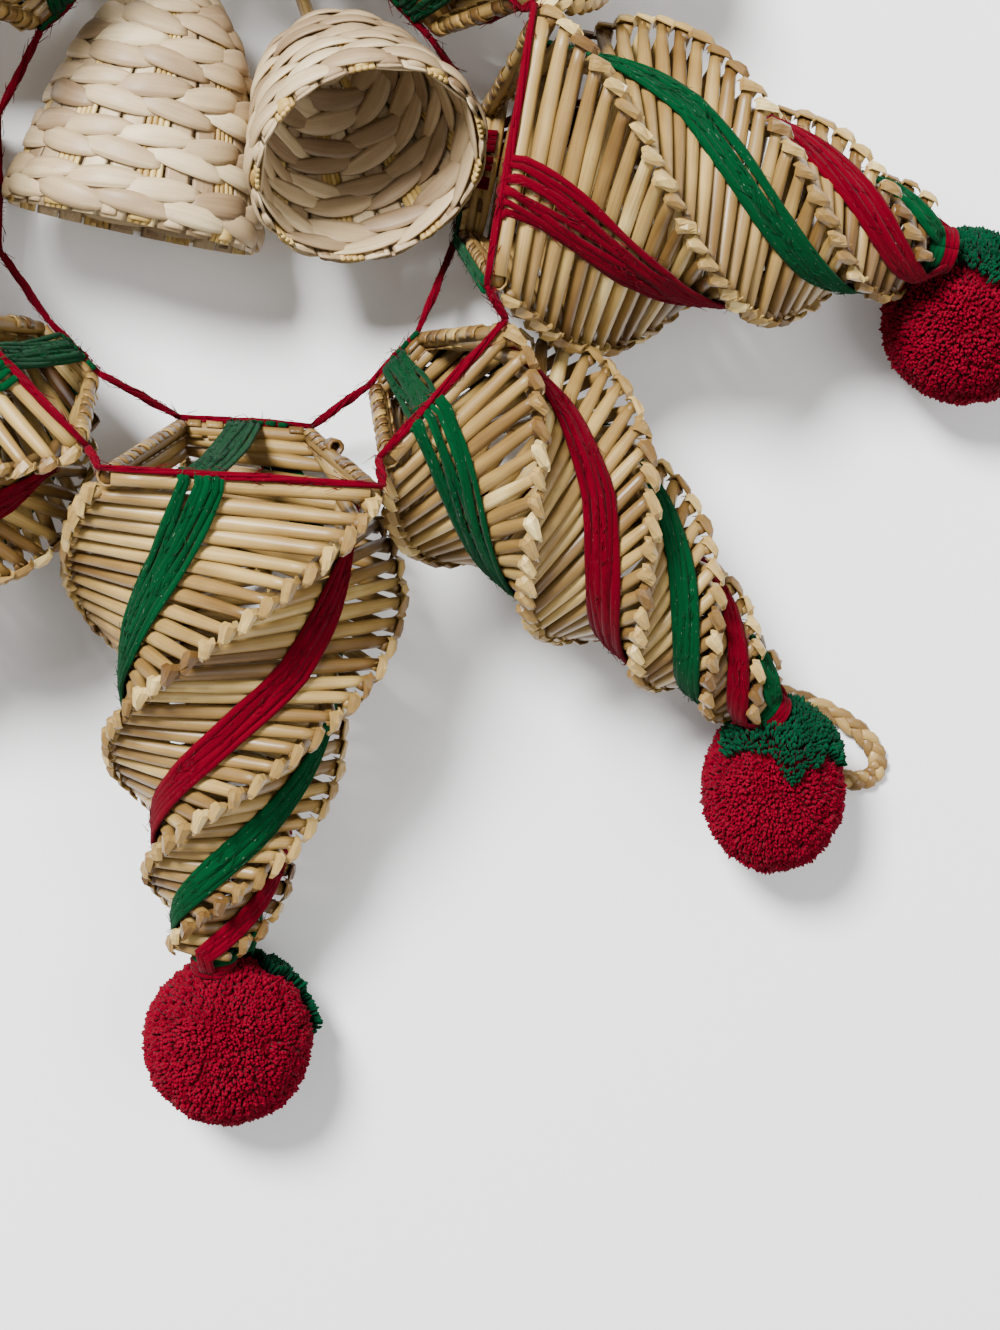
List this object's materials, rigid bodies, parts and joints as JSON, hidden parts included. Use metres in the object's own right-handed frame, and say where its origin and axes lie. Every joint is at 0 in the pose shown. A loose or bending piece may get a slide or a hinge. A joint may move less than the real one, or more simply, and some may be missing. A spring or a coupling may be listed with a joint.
{
  "type": "plaited straw wreath ornament",
  "caption": "Wreath of hollow spiral-plaited straw cones bound with red and green yarn, with a yarn pompom at each tip and two palm-leaf bells in the middle.",
  "frame": {"origin": "middle of the wreath's width and height in plan, on the surface it lies on", "axes": "+Z out of the wreath's front face, +Y towards the top of the wreath, +X to the right seen from the front"},
  "size_m": [0.357, 0.3817, 0.0711],
  "materials": {
    "straw": "satin",
    "red_yarn": "matte",
    "green_yarn": "matte",
    "palm": "matte"
  },
  "bodies": {
    "root": {"straw_cone_east": "straw", "green_yarn_east": "green_yarn", "red_yarn_east": "red_yarn", "pompom_east": "red_yarn", "pompom_cap_east": "green_yarn", "straw_cone_north_east": "straw", "green_yarn_north_east": "green_yarn", "red_yarn_north_east": "red_yarn", "pompom_north_east": "red_yarn", "pompom_cap_north_east": "green_yarn", "straw_cone_north": "straw", "green_yarn_north": "green_yarn", "red_yarn_north": "red_yarn", "pompom_north": "red_yarn", "pompom_cap_north": "green_yarn", "straw_cone_north_west": "straw", "green_yarn_north_west": "green_yarn", "red_yarn_north_west": "red_yarn", "pompom_north_west": "red_yarn", "pompom_cap_north_west": "green_yarn", "straw_cone_west": "straw", "green_yarn_west": "green_yarn", "red_yarn_west": "red_yarn", "pompom_west": "red_yarn", "pompom_cap_west": "green_yarn", "straw_cone_south_west": "straw", "green_yarn_south_west": "green_yarn", "red_yarn_south_west": "red_yarn", "pompom_south_west": "red_yarn", "pompom_cap_south_west": "green_yarn", "straw_cone_south": "straw", "green_yarn_south": "green_yarn", "red_yarn_south": "red_yarn", "pompom_south": "red_yarn", "pompom_cap_south": "green_yarn", "straw_cone_south_east": "straw", "green_yarn_south_east": "green_yarn", "red_yarn_south_east": "red_yarn", "pompom_south_east": "red_yarn", "pompom_cap_south_east": "green_yarn", "front_lashing": "red_yarn", "back_lashing": "red_yarn", "palm_bell_left": "palm", "palm_bell_right": "palm", "plaited_loop": "straw"}
  },
  "joints": []
}
